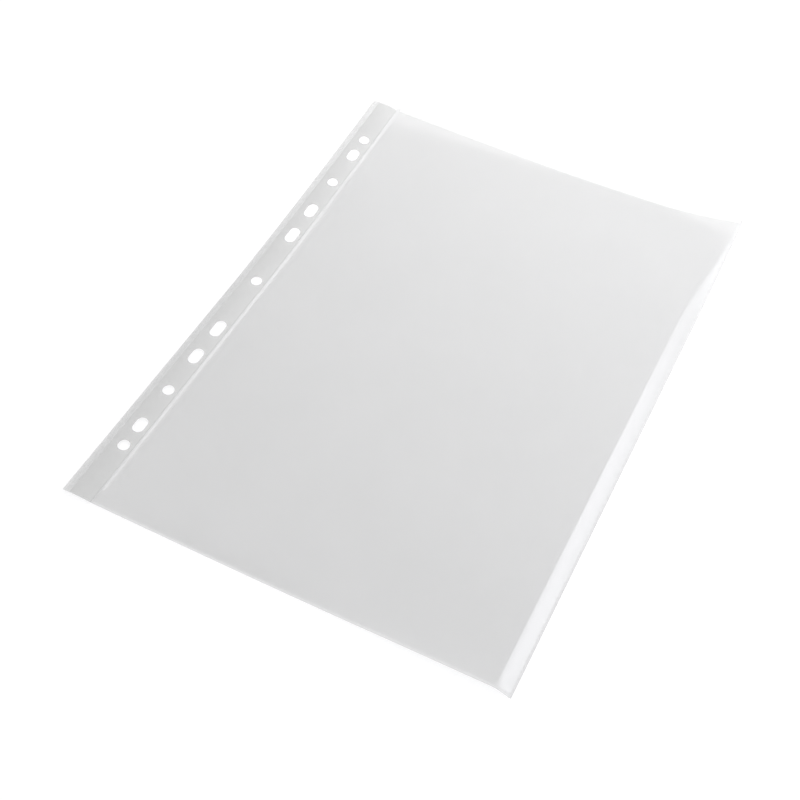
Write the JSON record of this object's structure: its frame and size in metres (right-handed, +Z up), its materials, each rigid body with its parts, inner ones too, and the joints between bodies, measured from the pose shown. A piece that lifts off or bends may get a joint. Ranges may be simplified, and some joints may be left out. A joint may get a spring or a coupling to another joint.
{
  "type": "document wallet",
  "caption": "Clear A4 punched document pocket of embossed film, open at the top, with a reinforced ring-binder strip that folds and a front film that lifts.",
  "frame": {"origin": "on the table, under the middle of the flat sheet", "axes": "+X from the punched strip to the side weld, +Y from the closed foot to the open mouth, +Z up from the table"},
  "size_m": [0.233, 0.307, 0.0047],
  "materials": {
    "embossed_film": "clear polypropylene film with a fine matt emboss",
    "reinforcing_film": "clear polypropylene tape, a little thicker than the films",
    "welded_film": "film melted together, smooth and a little glossier"
  },
  "bodies": {
    "pocket_back": {"back_film": "embossed_film", "strip_weld": "welded_film", "foot_weld": "welded_film", "side_weld": "welded_film"},
    "binding_strip": {"strip_back_film": "embossed_film", "reinforcing_tape": "reinforcing_film", "strip_front_film": "embossed_film"},
    "pocket_front": {"front_film": "embossed_film"}
  },
  "joints": [
    {"name": "strip_crease", "type": "hinge", "parent": "pocket_back", "child": "binding_strip", "pos_m": [-0.1002, 0, 0.0002], "axis": [0, 1, 0], "range_deg": [-90, 90], "stiffness_Nm_per_rad": 0.003},
    {"name": "mouth_lift", "type": "hinge", "parent": "pocket_back", "child": "pocket_front", "pos_m": [0, -0.1517, 0.00014], "axis": [1, 0, 0], "range_deg": [0, 5], "stiffness_Nm_per_rad": 0.02}
  ]
}
